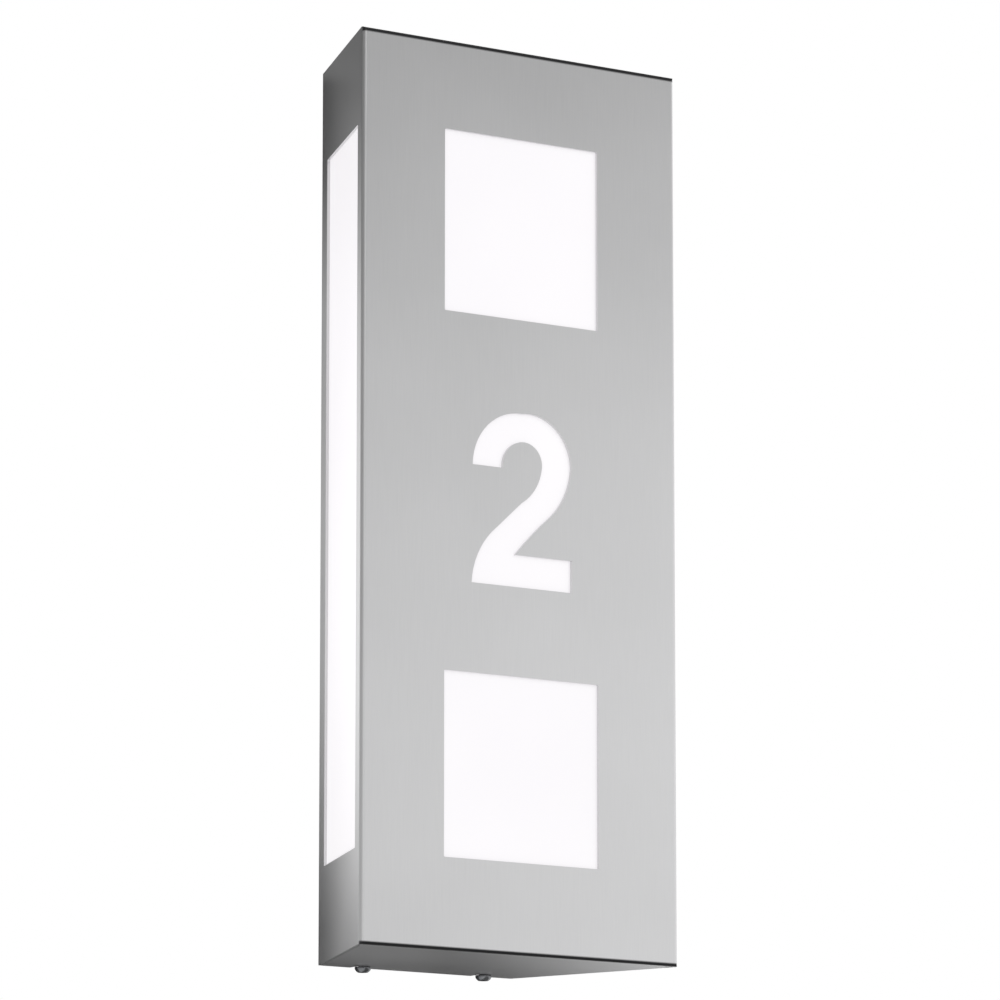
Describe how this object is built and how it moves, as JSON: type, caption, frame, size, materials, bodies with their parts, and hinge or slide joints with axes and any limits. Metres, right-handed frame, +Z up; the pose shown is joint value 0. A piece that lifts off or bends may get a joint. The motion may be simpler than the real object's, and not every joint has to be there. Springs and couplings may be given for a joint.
{
  "type": "illuminated house number sign",
  "caption": "Tall folded steel wall light with a trapezoid plan, opal windows, a cut-out house number, and a cover that hangs on hooks and swings out",
  "frame": {"origin": "middle of the face that lies on the wall", "axes": "+Z up, +Y into the wall, so the front faces -Y, +X to the right of someone who looks at the front"},
  "size_m": [0.1614, 0.083, 0.3925],
  "materials": {
    "brushed_steel": "brushed",
    "zinc_plate": "galvanised",
    "opal": "opal acrylic",
    "steel": "bright zinc",
    "nylon": "matte",
    "rubber": "matte",
    "ceramic": "glazed",
    "brass": "plain",
    "block_plastic": "moulded",
    "clip_plastic": "moulded",
    "lead_brown": "satin",
    "lead_blue": "satin",
    "lead_green": "satin",
    "copper": "tinned",
    "lamp_opal": "opal",
    "lamp_plastic": "satin",
    "lamp_cap": "nickel plated",
    "black_glass": "gloss"
  },
  "bodies": {
    "wall_unit": {"wall_bracket": "zinc_plate", "rivet_nuts": "steel", "cable_grommet": "rubber", "holder_arm_studs": "steel", "holder_arm_nuts": "steel", "terminal_block": "block_plastic", "terminal_cages": "brass", "terminal_screws": "steel", "block_screws": "steel", "lead_clips": "clip_plastic", "earth_stud": "steel", "earth_lug": "copper", "earth_nuts": "steel", "earth_lead": "lead_green", "upper_holder_arm": "zinc_plate", "upper_holder_body": "ceramic", "upper_screw_shell": "brass", "upper_centre_contact": "brass", "upper_nipple": "steel", "upper_lock_nut": "steel", "upper_live_lead": "lead_brown", "upper_neutral_lead": "lead_blue", "lower_holder_arm": "zinc_plate", "lower_holder_body": "ceramic", "lower_screw_shell": "brass", "lower_centre_contact": "brass", "lower_nipple": "steel", "lower_lock_nut": "steel", "lower_live_lead": "lead_brown", "lower_neutral_lead": "lead_blue"},
    "cover": {"cover_shell": "brushed_steel", "front_pane": "opal", "left_side_pane": "opal", "right_side_pane": "opal", "pane_studs": "steel", "pane_clamp_plates": "steel", "pane_nuts": "steel", "hanging_rod": "steel"},
    "left_washer": {"left_seal_washer": "nylon"},
    "left_screw": {"left_cover_screw": "steel"},
    "right_washer": {"right_seal_washer": "nylon"},
    "right_screw": {"right_cover_screw": "steel"},
    "upper_lamp": {"upper_lamp_globe": "lamp_opal", "upper_lamp_housing": "lamp_plastic", "upper_lamp_cap": "lamp_cap", "upper_lamp_insulator": "black_glass", "upper_lamp_tip": "steel"},
    "lower_lamp": {"lower_lamp_globe": "lamp_opal", "lower_lamp_housing": "lamp_plastic", "lower_lamp_cap": "lamp_cap", "lower_lamp_insulator": "black_glass", "lower_lamp_tip": "steel"}
  },
  "joints": [
    {"name": "cover_swing", "type": "hinge", "parent": "wall_unit", "child": "cover", "pos_m": [0, -0.015, 0.1885], "axis": [-1, 0, 0], "range_deg": [0, 30]},
    {"name": "left_screw_advance", "type": "slide", "parent": "wall_unit", "child": "left_washer", "axis": [0, 0, -1], "range_m": [0, 0.0021]},
    {"name": "left_screw_turn", "type": "hinge", "parent": "left_washer", "child": "left_screw", "pos_m": [-0.031, -0.008, -0.1956], "axis": [0, 0, -1], "range_deg": [0, 1080]},
    {"name": "right_screw_advance", "type": "slide", "parent": "wall_unit", "child": "right_washer", "axis": [0, 0, -1], "range_m": [0, 0.0021]},
    {"name": "right_screw_turn", "type": "hinge", "parent": "right_washer", "child": "right_screw", "pos_m": [0.031, -0.008, -0.1956], "axis": [0, 0, -1], "range_deg": [0, 1080]},
    {"name": "upper_lamp_release", "type": "slide", "parent": "wall_unit", "child": "upper_lamp", "axis": [0, 0, -1], "range_m": [0, 0.027]},
    {"name": "lower_lamp_release", "type": "slide", "parent": "wall_unit", "child": "lower_lamp", "axis": [0, 0, 1], "range_m": [0, 0.027]}
  ],
  "couplings": [
    {"joint": "left_screw_turn", "follows": "left_screw_advance", "rad_per_m": 8976},
    {"joint": "right_screw_turn", "follows": "right_screw_advance", "rad_per_m": 8976}
  ]
}
